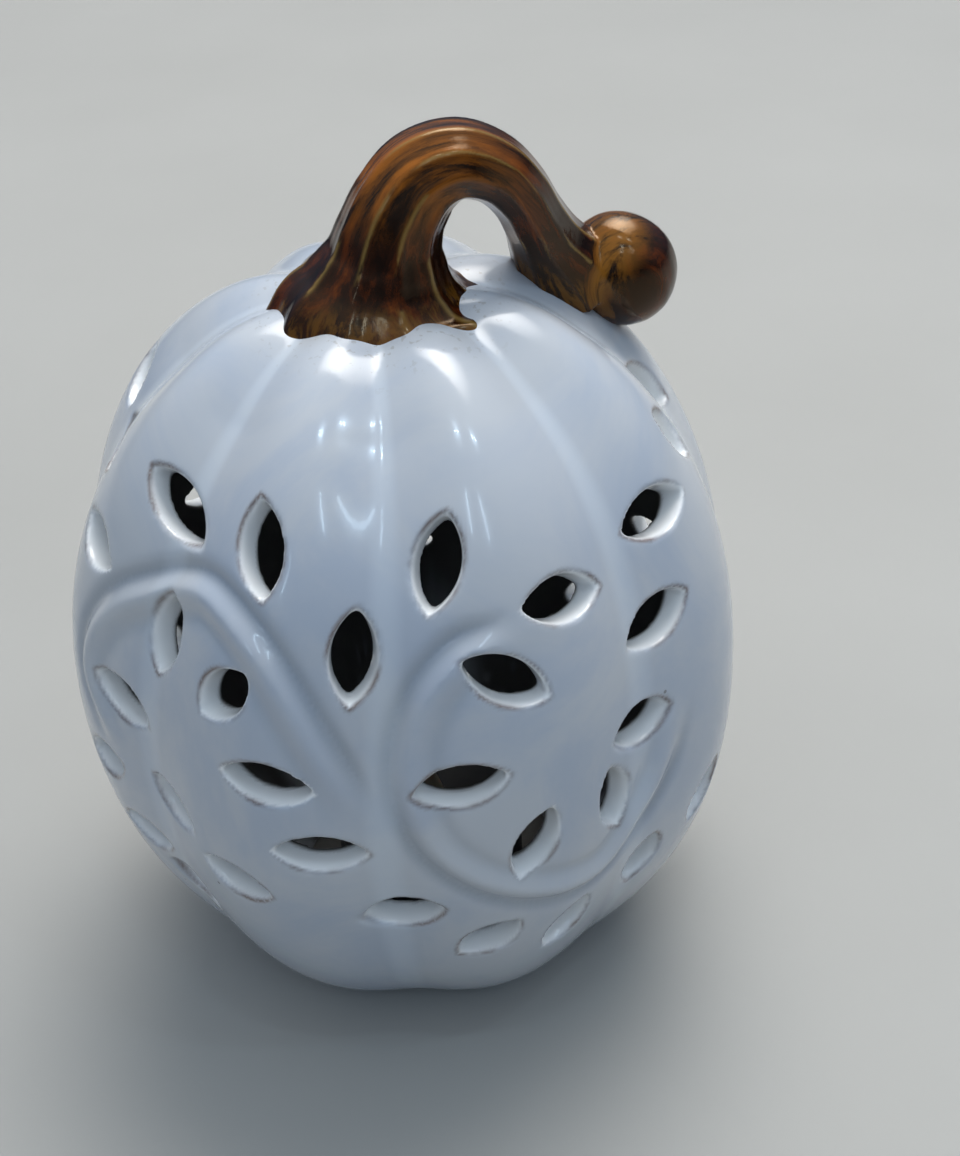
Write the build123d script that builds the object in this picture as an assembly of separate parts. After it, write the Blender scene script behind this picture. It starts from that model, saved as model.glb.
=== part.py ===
"""Pierced ceramic pumpkin lantern with a battery tea light standing inside it.

Millimetres, +Z up, origin on the table under the middle of the pumpkin.
-Y is the front of the pumpkin, +X is the side its stem curls over to.
"""
import math
import os

from build123d import *

os.makedirs("parts", exist_ok=True)

# ---- pumpkin body -----------------------------------------------------------
BELLY_RADIUS = 63.5         # lobe crest at the widest height
BELLY_HEIGHT = 66.0         # height of the widest place above the table
CROWN_RISE = 75.0           # widest place up to the crown before it is dished
FOOT_DROP = 77.5            # widest place down to where the lower curve would close
CURVE_POWER = 2.1           # 2 would be a plain ellipse; this is a little squarer
WALL = 5.5                  # cast wall thickness
RIB_DEPTH = 0.053           # groove depth as a share of the local radius
RIB_SOFTNESS = 1.5          # 1 gives sharp-bottomed grooves, 2 gives wavy ones
CROWN_TWIST = 7.0           # degrees the grooves lean round by the time they reach the crown
CROWN_CUT = 139.6           # height at which the lofted body is capped before dishing
DISH_BOTTOM = 135.0         # bottom of the dish the stem stands in
DISH_RADIUS = 50.0          # sphere that makes the dish
RING_POINTS = 48            # points round each ring of the lofted body
CEILING = 128.5             # flat inside top of the hollow
BASE_OPENING_RADIUS = 27.0  # hole in the underside that the tea light passes through

# The grooves were pressed by hand, so they are not quite evenly spaced (degrees
# round from the front, positive towards +X).
GROOVES = (-139, -94, -49, -5, 41, 87, 132, 176)

# ---- pierced leaves ---------------------------------------------------------
LEAF_LENGTH = 16.0
LEAF_WIDTH = 7.4
CUT_OUTSIDE = 6.0           # how far the leaf cutter stands proud of the wall
CUT_INSIDE = 13.0           # how far it reaches in

# Each leaf: degrees round from the front, height, lean of its long axis, length.
FRONT_LEAVES = (
    # upper row, from the left side round to the right side
    (-103, 119, -30, 14),
    (-82, 114, -20, 14),
    (-67, 104, -15, 14),
    (-49, 115, -25, LEAF_LENGTH),
    (-24, 115, -80, LEAF_LENGTH),
    (-7, 99, 85, LEAF_LENGTH),
    (9, 112, 68, LEAF_LENGTH),
    (30, 103, -6, LEAF_LENGTH),
    (57, 106, -7, LEAF_LENGTH),
    (76, 111, -60, 13),
    (94, 112, -65, 14),
    # inside the left arch of the vine
    (-44, 96, 80, 15),
    (-55, 79, -20, 14),
    (-29, 92, 45, 12),
    (-22, 77, -10, LEAF_LENGTH),
    (-44, 62, -30, 12),
    # inside the right loop of the vine
    (17, 94, -35, LEAF_LENGTH),
    (8, 76, 9, LEAF_LENGTH),
    (19, 61, 65, 15),
    (35, 61, -80, 15),
    (42, 73, 0, 13),
    (49, 90, 10, 15),
    # lower row, under the vines
    (-64, 60, 20, 13),
    (-58, 45, 0, 13),
    (-31, 52, -15, 14),
    (-48, 37, -20, 12),
    (-15, 62, -5, LEAF_LENGTH),
    (-3, 46, 11, 14),
    (11, 37, 42, 14),
    (26, 34, 56, 13),
    (45, 37, 71, 12),
    (60, 44, 60, 13),
)
REPEAT_REACH = 70           # leaves within this many degrees of the front are repeated behind
BACK_TURN = 184             # degrees the hand-drawn pattern is turned round for the back
BACK_LIFT = 2               # and how much higher it was drawn there

# ---- vine lines, as points (degrees round from the front, height) ------------
LEFT_VINE = ((-5, 69), (-11, 86), (-20, 102), (-32, 109), (-46, 106), (-60, 98), (-67, 82), (-60, 62))
RIGHT_VINE = ((21, 104), (9, 101), (0, 91), (-3, 76), (1, 60), (14, 48), (32, 43), (46, 54), (54, 74))
VINE_RADIUS = 2.2           # round tool that presses the line
VINE_DEPTH = 0.6            # how deep it goes

# ---- stem --------------------------------------------------------------------
FLUTES = 7
FLUTE_DEPTH = 0.05          # share of the local stem radius
# Stations along the stem: x, y, z of its middle, then half width across the arch
# and half width front to back.
STEM_STATIONS = (
    (1.1, -3.0, 132.0, 21.5, 17.6),
    (1.2, -3.0, 136.6, 17.6, 14.8),
    (1.8, -3.1, 140.2, 13.2, 12.2),
    (2.7, -3.2, 144.0, 10.4, 10.7),
    (3.7, -3.2, 148.0, 8.9, 9.5),
    (5.8, -2.8, 152.6, 8.1, 8.8),
    (9.8, -1.8, 157.2, 7.5, 8.0),
    (15.6, -0.4, 158.8, 6.6, 7.4),
    (21.4, 1.8, 156.0, 5.8, 6.8),
    (25.5, 4.4, 150.6, 5.4, 6.4),
    (28.1, 7.2, 144.2, 5.6, 6.4),
    (30.3, 10.0, 138.0, 6.8, 6.6),
    (32.8, 12.2, 132.0, 9.0, 7.0),
    (35.2, 13.6, 126.5, 10.4, 7.4),
)
KNOB_CENTRE = (43.6, 15.0, 129.4)
KNOB_HALF_SIZES = (9.9, 8.7, 10.8)
KNOB_LEAN = -32             # degrees its long axis leans towards +X at the bottom

# ---- tea light ---------------------------------------------------------------
CUP_RADIUS = 19.0
CUP_HEIGHT = 16.5
CUP_WALL = 1.2
PLATE_BOTTOM = 2.4          # underside of the cup's floor, raised on its rim
PLATE_TOP = 4.8
FIT_GAP = 0.2               # gap round the loose-fitting pieces of the tea light
MOVING_GAP = 0.3            # gap round the sliding switch

CELL_RADIUS = 10.0          # 20 mm coin cell, 3.2 mm thick
CELL_THICKNESS = 3.2
CELL_STEP = 0.3             # its top face stands this much above the crimped edge
CELL_STEP_IN = 1.2          # and this far in from the side
CELL_ROOM = 0.6             # room round the cell in its pocket
CELL_X = -4.0               # the cell sits to one side to leave room for the switch
DOOR_RADIUS = 12.2
DOOR_THICKNESS = 1.2
POCKET_WALL = 1.0
POCKET_TOP = 6.9

SCREW_Y = 13.2              # screw and its boss, on the cell's centre line
SCREW_RADIUS = 0.85
SCREW_HEAD_RADIUS = 1.7
EAR_RADIUS = 2.6
BOSS_RADIUS = 2.0
BOSS_TOP = 9.0
BORE_TOP = 8.2              # blind end of the screw hole
SCREW_TIP = 7.6
SCREW_HEAD_HEIGHT = 1.1
DRIVER_SLOT_DEPTH = 0.5

SWITCH_X = 12.6
SWITCH_TRAVEL = 3.0
SLIDER_HALF_WIDTH = 1.7
SLIDER_HALF_LENGTH = 1.8
THUMB_HALF_WIDTH = 0.8
THUMB_HALF_LENGTH = 1.2
THUMB_BOTTOM = 0.8
FRAME_WALL = 0.4
FRAME_TOP = 8.8

STRIP_THICKNESS = 0.3
STRIP_HALF_WIDTH = 2.0

LIP_TOP = 17.5              # top edge of the cap's lip
DISH_FLOOR = 14.8           # sunk middle of the cap, shaped like melted wax
FLAME_HOLE_RADIUS = 4.2
FLAME_RADIUS = 4.0
FLAME_TIP = 33.0
LED_RADIUS = 1.5
LED_LEG_RADIUS = 0.25
LED_LEG_SPACING = 2.54


def superellipse_radius(height, radius, rise, drop):
    """Radius of the smooth body of revolution at a height above the table."""
    span = rise if height > BELLY_HEIGHT else drop
    share = min(abs(height - BELLY_HEIGHT) / span, 1.0)
    return radius * (1.0 - share ** CURVE_POWER) ** (1.0 / CURVE_POWER)


def rib_factor(angle, height):
    """Share of the crest radius left at this angle: 1 on a lobe, less in a groove."""
    lean = CROWN_TWIST * max(0.0, (height - BELLY_HEIGHT) / CROWN_RISE)
    turned = (angle - lean + 180.0) % 360.0 - 180.0
    starts = (GROOVES[-1] - 360,) + GROOVES
    ends = GROOVES + (GROOVES[0] + 360,)
    for start, end in zip(starts, ends):
        if start <= turned < end:
            across = (turned - start) / (end - start)
            return 1.0 - RIB_DEPTH * (1.0 - math.sin(math.pi * across) ** RIB_SOFTNESS)
    return 1.0 - RIB_DEPTH


def surface_point(angle, height):
    """Point on the ribbed outside, at degrees round from the front and a height."""
    radius = superellipse_radius(height, BELLY_RADIUS, CROWN_RISE, FOOT_DROP)
    radius = radius * rib_factor(angle, height)
    turn = math.radians(angle)
    return Vector(radius * math.sin(turn), -radius * math.cos(turn), height)


def surface_directions(angle, height):
    """Unit directions round, up and out of the ribbed outside at one place."""
    around = surface_point(angle + 1.0, height) - surface_point(angle - 1.0, height)
    upward = surface_point(angle, height + 1.0) - surface_point(angle, height - 1.0)
    outward = around.cross(upward).normalized()
    around = around.normalized()
    return around, outward.cross(around), outward


def ribbed_body(inset, bottom, top, stations):
    """Solid lofted through ribbed rings; the inset makes the hollow inside the wall."""
    radius = BELLY_RADIUS - inset
    rise = CROWN_RISE - inset
    drop = FOOT_DROP - inset
    rings = []
    for step in range(stations):
        # even steps of angle round the side view, so rings crowd where it curves
        low = math.asin((bottom - BELLY_HEIGHT) / drop)
        high = math.asin((top - BELLY_HEIGHT) / rise)
        swing = low + (high - low) * step / (stations - 1)
        height = BELLY_HEIGHT + (rise if swing > 0 else drop) * math.sin(swing)
        ring_radius = superellipse_radius(height, radius, rise, drop)
        points = []
        for index in range(RING_POINTS):
            angle = 360.0 * index / RING_POINTS
            reach = ring_radius * rib_factor(angle, height)
            turn = math.radians(angle)
            points.append((reach * math.sin(turn), -reach * math.cos(turn), height))
        rings.append(make_face(Spline(*points, periodic=True)))
    return loft(rings)


def leaf_cutter(angle, height, lean, length):
    """Pointed leaf prism standing square to the wall at one place."""
    around, upward, outward = surface_directions(angle, height)
    turn = math.radians(lean)
    lengthwise = around * math.cos(turn) + upward * math.sin(turn)
    plane = Plane(origin=surface_point(angle, height), x_dir=lengthwise, z_dir=outward)
    half = length / 2.0
    side = LEAF_WIDTH / 2.0
    rim = ThreePointArc((-half, 0), (0, side), (half, 0))
    rim += ThreePointArc((half, 0), (0, -side), (-half, 0))
    outline = plane * make_face(rim)
    cutter = extrude(outline, amount=CUT_OUTSIDE)
    cutter += extrude(outline, amount=-CUT_INSIDE)
    return cutter


def leaf_cutters():
    """All the leaves: the front pattern and the same pattern carried round to the back."""
    cutters = []
    for angle, height, lean, length in FRONT_LEAVES:
        cutters.append(leaf_cutter(angle, height, lean, length))
        if abs(angle) < REPEAT_REACH:
            cutters.append(leaf_cutter(angle + BACK_TURN, height + BACK_LIFT, lean, length))
    return cutters


def vine_cutter(points, turn, lift):
    """Round tool swept along a vine line just above the surface."""
    places = []
    for angle, height in points:
        outward = surface_directions(angle + turn, height + lift)[2]
        stand_off = outward * (VINE_RADIUS - VINE_DEPTH)
        places.append(surface_point(angle + turn, height + lift) + stand_off)
    path = Spline(*places)
    return sweep((path ^ 0) * Circle(VINE_RADIUS), path=path)


def vine_cutters():
    """Both vine lines on the front, and the same pair carried round to the back."""
    cutters = []
    for turn, lift in ((0, 0), (BACK_TURN, BACK_LIFT)):
        cutters.append(vine_cutter(LEFT_VINE, turn, lift))
        cutters.append(vine_cutter(RIGHT_VINE, turn, lift))
    return cutters


def outer_body():
    """The whole outside of the pumpkin as one solid, dished at the crown."""
    body = ribbed_body(0.0, 0.0, CROWN_CUT, 15)
    dish = Pos(0, 0, DISH_BOTTOM + DISH_RADIUS) * Sphere(DISH_RADIUS)
    return body - dish


def pumpkin_shell(outside):
    """Hollow cast body with an open foot, pierced leaves and pressed vines."""
    hollow = ribbed_body(WALL, 2.0, CEILING, 13)
    opening = Pos(0, 0, -1) * Cylinder(BASE_OPENING_RADIUS, 12, align=(Align.CENTER, Align.CENTER, Align.MIN))
    shell = outside - hollow - opening
    shell = shell - vine_cutters()
    return shell - leaf_cutters()


def stem_section(station, before, after):
    """Fluted ring across the stem at one station."""
    x, y, z, half_width, half_depth = station
    along = (Vector(*after[:3]) - Vector(*before[:3])).normalized()
    depth = Vector(0, 1, 0)
    width = depth.cross(along).normalized()
    depth = along.cross(width).normalized()
    middle = Vector(x, y, z)
    points = []
    count = FLUTES * 6
    for index in range(count):
        turn = 2.0 * math.pi * index / count
        flute = 1.0 + FLUTE_DEPTH * math.cos(FLUTES * turn)
        sideways = width * (half_width * flute * math.cos(turn))
        deep = depth * (half_depth * flute * math.sin(turn))
        points.append(middle + sideways + deep)
    return make_face(Spline(*points, periodic=True))


def pumpkin_stem(outside):
    """Arched stem with a flared foot, and a knob where it rests on the shoulder."""
    sections = []
    for index, station in enumerate(STEM_STATIONS):
        before = STEM_STATIONS[max(index - 1, 0)]
        after = STEM_STATIONS[min(index + 1, len(STEM_STATIONS) - 1)]
        sections.append(stem_section(station, before, after))
    arch = loft(sections)
    knob = scale(Sphere(1.0), by=KNOB_HALF_SIZES)
    knob = Pos(*KNOB_CENTRE) * Rot(0, KNOB_LEAN, 0) * knob
    return arch + knob - outside


def upright(radius, bottom, top, x=0.0, y=0.0):
    """Upright cylinder between two heights."""
    align = (Align.CENTER, Align.CENTER, Align.MIN)
    return Pos(x, y, bottom) * Cylinder(radius, top - bottom, align=align)


def block(x_range, y_range, z_range):
    """Box between two corners."""
    size = [high - low for low, high in (x_range, y_range, z_range)]
    corner = (x_range[0], y_range[0], z_range[0])
    return Pos(*corner) * Box(*size, align=(Align.MIN, Align.MIN, Align.MIN))


def tea_housing():
    """Round cup with a raised floor, coin-cell pocket, screw boss and switch slot."""
    cup = upright(CUP_RADIUS, 0, CUP_HEIGHT)
    inner = CUP_RADIUS - CUP_WALL
    cup -= upright(inner, 0, PLATE_BOTTOM)
    cup -= upright(inner, PLATE_TOP, CUP_HEIGHT)
    pocket_radius = CELL_RADIUS + CELL_ROOM
    cup += upright(pocket_radius + POCKET_WALL, PLATE_TOP, POCKET_TOP, CELL_X)
    cup += upright(BOSS_RADIUS, PLATE_TOP, BOSS_TOP, CELL_X, SCREW_Y)
    cup -= upright(pocket_radius, 0, POCKET_TOP, CELL_X)
    seat = upright(DOOR_RADIUS + FIT_GAP, 0, PLATE_BOTTOM + DOOR_THICKNESS, CELL_X)
    seat += upright(EAR_RADIUS + FIT_GAP, 0, PLATE_BOTTOM + DOOR_THICKNESS, CELL_X, SCREW_Y)
    cup -= seat
    cup -= upright(SCREW_RADIUS, PLATE_BOTTOM, BORE_TOP, CELL_X, SCREW_Y)
    slot_x = THUMB_HALF_WIDTH + MOVING_GAP
    slot_y = THUMB_HALF_LENGTH + SWITCH_TRAVEL / 2 + MOVING_GAP
    cup -= block((SWITCH_X - slot_x, SWITCH_X + slot_x), (-slot_y, slot_y), (0, PLATE_TOP))
    # notch in the pocket wall where the side contact climbs out
    notch = CELL_X - STRIP_HALF_WIDTH - 0.1, CELL_X + STRIP_HALF_WIDTH + 0.1
    cup -= block(notch, (-pocket_radius - POCKET_WALL, -CELL_RADIUS), (PLATE_TOP, POCKET_TOP))
    return cup


def tea_cap():
    """Lid of the cup, sunk in the middle like melted wax, with a hole for the flame."""
    skirt = CUP_RADIUS - CUP_WALL - FIT_GAP
    profile = Polyline(
        (FLAME_HOLE_RADIUS, DISH_FLOOR),
        (8.0, DISH_FLOOR),
        (17.2, LIP_TOP),
        (CUP_RADIUS, LIP_TOP),
        (CUP_RADIUS, CUP_HEIGHT),
        (skirt, CUP_HEIGHT),
        (skirt, CUP_HEIGHT - 3.0),
        (skirt - CUP_WALL, CUP_HEIGHT - 3.0),
        (skirt - CUP_WALL, CUP_HEIGHT - 0.8),
        (8.4, DISH_FLOOR - CUP_WALL),
        (FLAME_HOLE_RADIUS, DISH_FLOOR - CUP_WALL),
        close=True,
    )
    return revolve(Plane.XZ * make_face(profile), Axis.Z)


def flame_lens():
    """Hollow soft-plastic flame pushed up through the cap, held by its flange."""
    flange_top = DISH_FLOOR - CUP_WALL
    flange_bottom = flange_top - 1.0
    outline = Polyline((3.1, flange_bottom), (6.0, flange_bottom), (6.0, flange_top), (FLAME_RADIUS, flange_top))
    outline += Line((FLAME_RADIUS, flange_top), (FLAME_RADIUS, 18.0))
    outline += Spline((FLAME_RADIUS, 18.0), (2.6, 25.0), (0, FLAME_TIP), tangents=((0, 1), (-0.25, 1)))
    outline += Line((0, FLAME_TIP), (0, 27.0))
    outline += Spline((0, 27.0), (1.8, 23.0), (3.1, 18.0), tangents=((0.3, -1), (0, -1)))
    outline += Line((3.1, 18.0), (3.1, flange_bottom))
    return revolve(Plane.XZ * make_face(outline), Axis.Z)


def led():
    """Domed light-emitting diode with its two legs, one bent over to the switch."""
    shoulder = 14.0
    lamp = upright(LED_RADIUS + 0.4, shoulder, shoulder + 1.0)
    lamp += upright(LED_RADIUS, shoulder, shoulder + 5.0)
    lamp += Pos(0, 0, shoulder + 5.0) * Sphere(LED_RADIUS)
    leg = LED_LEG_SPACING / 2
    wire_height = FRAME_TOP + LED_LEG_RADIUS
    lamp += upright(LED_LEG_RADIUS, POCKET_TOP + STRIP_THICKNESS, shoulder, -leg)
    lamp += upright(LED_LEG_RADIUS, wire_height, shoulder, leg)
    lamp += Pos(leg, 0, wire_height) * Sphere(LED_LEG_RADIUS)
    run = SWITCH_X - leg
    wire = Cylinder(LED_LEG_RADIUS, run, align=(Align.CENTER, Align.CENTER, Align.MIN))
    lamp += Pos(leg, 0, wire_height) * Rot(0, 90, 0) * wire
    return lamp


def coin_cell():
    """Coin cell standing on the battery door."""
    bottom = PLATE_BOTTOM + DOOR_THICKNESS
    cell = upright(CELL_RADIUS, bottom, bottom + CELL_THICKNESS - CELL_STEP, CELL_X)
    cell += upright(CELL_RADIUS - CELL_STEP_IN, bottom, bottom + CELL_THICKNESS, CELL_X)
    return cell


def cell_top_contact():
    """Flat spring strip lying across the pocket, over the top of the cell."""
    reach = CELL_RADIUS + CELL_ROOM + POCKET_WALL
    z_range = (POCKET_TOP, POCKET_TOP + STRIP_THICKNESS)
    strip = block((CELL_X - reach, CELL_X + reach), (-STRIP_HALF_WIDTH, STRIP_HALF_WIDTH), z_range)
    cell_top = PLATE_BOTTOM + DOOR_THICKNESS + CELL_THICKNESS
    dimple = upright(1.2, cell_top, POCKET_TOP, CELL_X)
    return strip + dimple


def cell_side_contact():
    """Strip pressed against the side of the cell and led across to the switch."""
    near = -CELL_RADIUS - STRIP_THICKNESS
    x_range = (CELL_X - STRIP_HALF_WIDTH, CELL_X + STRIP_HALF_WIDTH)
    low = FRAME_TOP - 1.2
    high = low + STRIP_THICKNESS
    strip = block(x_range, (near, -CELL_RADIUS), (PLATE_TOP, high))
    strip += block((x_range[0], SWITCH_X), (near - 1.6, -CELL_RADIUS), (low, high))
    frame_side = -frame_half_length()
    strip += block((SWITCH_X - 2.0, SWITCH_X), (near, frame_side), (low, high))
    return strip


def frame_half_length():
    """Half length of the switch frame along its travel."""
    return SLIDER_HALF_LENGTH + SWITCH_TRAVEL / 2 + MOVING_GAP + 1.0 + FRAME_WALL


def switch_frame():
    """Small box over the slot that guides the switch slider."""
    half_x = SLIDER_HALF_WIDTH + MOVING_GAP + FRAME_WALL
    half_y = frame_half_length()
    box = block((SWITCH_X - half_x, SWITCH_X + half_x), (-half_y, half_y), (PLATE_TOP, FRAME_TOP))
    inner_x = half_x - FRAME_WALL
    inner_y = half_y - FRAME_WALL
    inside = block(
        (SWITCH_X - inner_x, SWITCH_X + inner_x),
        (-inner_y, inner_y),
        (PLATE_TOP, FRAME_TOP - FRAME_WALL),
    )
    return box - inside


def switch_slider():
    """Slider with a thumb piece reaching down through the slot, drawn switched off."""
    middle = -SWITCH_TRAVEL / 2
    bottom = PLATE_TOP + MOVING_GAP
    top = FRAME_TOP - FRAME_WALL - MOVING_GAP
    slider = block(
        (SWITCH_X - SLIDER_HALF_WIDTH, SWITCH_X + SLIDER_HALF_WIDTH),
        (middle - SLIDER_HALF_LENGTH, middle + SLIDER_HALF_LENGTH),
        (bottom, top),
    )
    slider += block(
        (SWITCH_X - THUMB_HALF_WIDTH, SWITCH_X + THUMB_HALF_WIDTH),
        (middle - THUMB_HALF_LENGTH, middle + THUMB_HALF_LENGTH),
        (THUMB_BOTTOM, bottom),
    )
    return slider


def battery_door():
    """Round door with an ear for the screw, let into the underside of the cup."""
    top = PLATE_BOTTOM + DOOR_THICKNESS
    door = upright(DOOR_RADIUS, PLATE_BOTTOM, top, CELL_X)
    door += upright(EAR_RADIUS, PLATE_BOTTOM, top, CELL_X, SCREW_Y)
    door -= upright(SCREW_RADIUS + 0.2, PLATE_BOTTOM, top, CELL_X, SCREW_Y)
    return door


def door_screw():
    """Small pan-head screw that holds the battery door shut."""
    head_bottom = PLATE_BOTTOM - SCREW_HEAD_HEIGHT
    screw = upright(SCREW_HEAD_RADIUS, head_bottom, PLATE_BOTTOM, CELL_X, SCREW_Y)
    screw = chamfer(screw.faces().sort_by(Axis.Z)[0].edges(), 0.3)
    screw += upright(SCREW_RADIUS, PLATE_BOTTOM, SCREW_TIP, CELL_X, SCREW_Y)
    arm = SCREW_HEAD_RADIUS - 0.6
    for half_x, half_y in ((arm, 0.2), (0.2, arm)):
        x_range = (CELL_X - half_x, CELL_X + half_x)
        y_range = (SCREW_Y - half_y, SCREW_Y + half_y)
        screw -= block(x_range, y_range, (head_bottom, head_bottom + DRIVER_SLOT_DEPTH))
    return screw


OUTSIDE = outer_body()

NODES = {
    "pumpkin_shell": pumpkin_shell(OUTSIDE),
    "pumpkin_stem": pumpkin_stem(OUTSIDE),
    "tea_housing": tea_housing(),
    "tea_cap": tea_cap(),
    "flame_lens": flame_lens(),
    "led": led(),
    "coin_cell": coin_cell(),
    "cell_top_contact": cell_top_contact(),
    "cell_side_contact": cell_side_contact(),
    "switch_frame": switch_frame(),
    "switch_slider": switch_slider(),
    "battery_door": battery_door(),
    "door_screw": door_screw(),
}

for name, solid in NODES.items():
    export_step(solid, f"parts/{name}.step")
    box = solid.bounding_box()
    print(name, len(solid.solids()), round(solid.volume, 1), box.min, box.max)
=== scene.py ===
"""Looks of the pierced ceramic pumpkin lantern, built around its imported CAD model."""
import math

import bpy
import numpy as np
from mathutils import Matrix, Vector
from mathutils.kdtree import KDTree


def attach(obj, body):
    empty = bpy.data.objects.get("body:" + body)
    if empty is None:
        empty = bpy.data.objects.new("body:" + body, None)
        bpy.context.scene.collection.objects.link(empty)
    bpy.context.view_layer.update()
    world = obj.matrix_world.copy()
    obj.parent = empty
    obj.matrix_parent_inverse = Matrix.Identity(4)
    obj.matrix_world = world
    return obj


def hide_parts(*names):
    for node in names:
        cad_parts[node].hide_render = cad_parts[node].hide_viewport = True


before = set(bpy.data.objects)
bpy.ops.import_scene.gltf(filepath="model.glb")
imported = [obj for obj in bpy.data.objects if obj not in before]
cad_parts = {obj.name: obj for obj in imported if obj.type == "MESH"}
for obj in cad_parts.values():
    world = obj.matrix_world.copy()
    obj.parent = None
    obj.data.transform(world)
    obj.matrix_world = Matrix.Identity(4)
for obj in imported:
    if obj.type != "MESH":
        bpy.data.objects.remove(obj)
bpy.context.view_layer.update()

MM = 0.001                  # the sizes below are in millimetres

# ---- pumpkin body, the same driving sizes as the CAD -------------------------
BELLY_RADIUS = 63.5
BELLY_HEIGHT = 66.0
CROWN_RISE = 75.0
FOOT_DROP = 77.5
CURVE_POWER = 2.1
WALL = 5.5
RIB_DEPTH = 0.053
RIB_SOFTNESS = 1.5
CROWN_TWIST = 7.0           # degrees the grooves lean round towards the crown
CROWN_FADE = (6.0, 36.0)    # the ribs grow from nothing to full between these radii
DISH_DEPTH = 6.0
DISH_SPREAD = 16.0
CEILING = 128.5
BASE_OPENING_RADIUS = 27.0
GROOVES = (-139, -94, -49, -5, 41, 87, 132, 176)

# ---- pierced leaves: degrees round from the front, height, lean, length ------
LEAF_LENGTH = 16.0
LEAF_WIDTH = 7.4
FRONT_LEAVES = (
    # upper row, from the left side round to the right side
    (-103, 119, -30, 14),
    (-82, 114, -20, 14),
    (-67, 104, -15, 14),
    (-49, 115, -25, LEAF_LENGTH),
    (-24, 115, -80, LEAF_LENGTH),
    (-7, 99, 85, LEAF_LENGTH),
    (9, 112, 68, LEAF_LENGTH),
    (30, 103, -6, LEAF_LENGTH),
    (57, 106, -7, LEAF_LENGTH),
    (76, 111, -60, 13),
    (94, 112, -65, 14),
    # inside the left arch of the vine
    (-44, 96, 80, 15),
    (-55, 79, -20, 14),
    (-29, 92, 45, 12),
    (-22, 77, -10, LEAF_LENGTH),
    (-44, 62, -30, 12),
    # inside the right loop of the vine
    (17, 94, -35, LEAF_LENGTH),
    (8, 76, 9, LEAF_LENGTH),
    (19, 61, 65, 15),
    (35, 61, -80, 15),
    (42, 73, 0, 13),
    (49, 90, 10, 15),
    # lower row, under the vines
    (-64, 60, 20, 13),
    (-58, 45, 0, 13),
    (-31, 52, -15, 14),
    (-48, 37, -20, 12),
    (-15, 62, -5, LEAF_LENGTH),
    (-3, 46, 11, 14),
    (11, 37, 42, 14),
    (26, 34, 56, 13),
    (45, 37, 71, 12),
    (60, 44, 60, 13),
)
REPEAT_REACH = 70           # leaves within this many degrees of the front are repeated behind
BACK_TURN = 184             # degrees the pattern is turned round for the back
BACK_LIFT = 2               # and how much higher it was drawn there

# ---- vine lines ---------------------------------------------------------------
LEFT_VINE = ((-5, 69), (-11, 86), (-20, 102), (-32, 109), (-46, 106), (-60, 98), (-67, 82), (-60, 62))
RIGHT_VINE = ((21, 104), (9, 101), (0, 91), (-3, 76), (1, 60), (14, 48), (32, 43), (46, 54), (54, 74))
VINE_REACH = 13.0           # how far the vine changes the surface
VALLEY_DEPTH = 1.0
VEIN_HEIGHT = 1.1
VEIN_OFFSET = 4.0           # the raised vein lies this far to one side of the valley
FAR_VALLEY_OFFSET = 7.8

# ---- stem: x, y, z of its middle, half width across the arch, half depth ------
STEM_STATIONS = (
    (1.1, -3.0, 132.0, 21.5, 17.6),
    (1.2, -3.0, 136.6, 17.6, 14.8),
    (1.8, -3.1, 140.2, 13.2, 12.2),
    (2.7, -3.2, 144.0, 10.4, 10.7),
    (3.7, -3.2, 148.0, 8.9, 9.5),
    (5.8, -2.8, 152.6, 8.1, 8.8),
    (9.8, -1.8, 157.2, 7.5, 8.0),
    (15.6, -0.4, 158.8, 6.6, 7.4),
    (21.4, 1.8, 156.0, 5.8, 6.8),
    (25.5, 4.4, 150.6, 5.4, 6.4),
    (28.1, 7.2, 144.2, 5.6, 6.4),
    (30.3, 10.0, 138.0, 6.8, 6.6),
    (32.8, 12.2, 132.0, 9.0, 7.0),
    (35.2, 13.6, 126.5, 10.4, 7.4),
)
RIDGES = 10                 # narrow ridges round the stem with hollow flutes between
KNOB_CENTRE = (43.6, 15.0, 129.4)
KNOB_HALF_SIZES = (9.9, 8.7, 10.8)
KNOB_LEAN = -32

# ---- mesh fineness ------------------------------------------------------------
SHELL_VOXEL = 0.6
STEM_VOXEL = 0.4
SKIN_STEP = 0.8             # spacing of the surface grid before remeshing

# ---- camera, at the angle the figure was seen from -----------------------------
CAMERA_PLACE = (14.3, -287.4, 277.8)
CAMERA_DIP = 35.3           # degrees below level
CAMERA_ROLL = 4.3
CAMERA_LENS = 57.6


# ================================ geometry helpers ==============================

def mesh_object(name, points, faces):
    """Smooth-shaded mesh object from points in millimetres."""
    mesh = bpy.data.meshes.new(name)
    mesh.from_pydata([tuple(point) for point in np.asarray(points) * MM], [], faces)
    mesh.validate()
    mesh.shade_smooth()
    piece = bpy.data.objects.new(name, mesh)
    bpy.context.collection.objects.link(piece)
    return piece


def tube_faces(rings, around):
    """Faces joining stacked rings of points, with flat ends."""
    faces = []
    for ring in range(rings - 1):
        for spot in range(around):
            here = ring * around + spot
            beside = ring * around + (spot + 1) % around
            faces.append((here, beside, beside + around, here + around))
    faces.append(tuple(range(around - 1, -1, -1)))
    last = (rings - 1) * around
    faces.append(tuple(range(last, last + around)))
    return faces


def apply_modifiers(piece):
    """Bake the modifiers into the mesh."""
    graph = bpy.context.evaluated_depsgraph_get()
    mesh = bpy.data.meshes.new_from_object(piece.evaluated_get(graph))
    piece.modifiers.clear()
    old = piece.data
    piece.data = mesh
    bpy.data.meshes.remove(old)
    mesh.shade_smooth()


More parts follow.
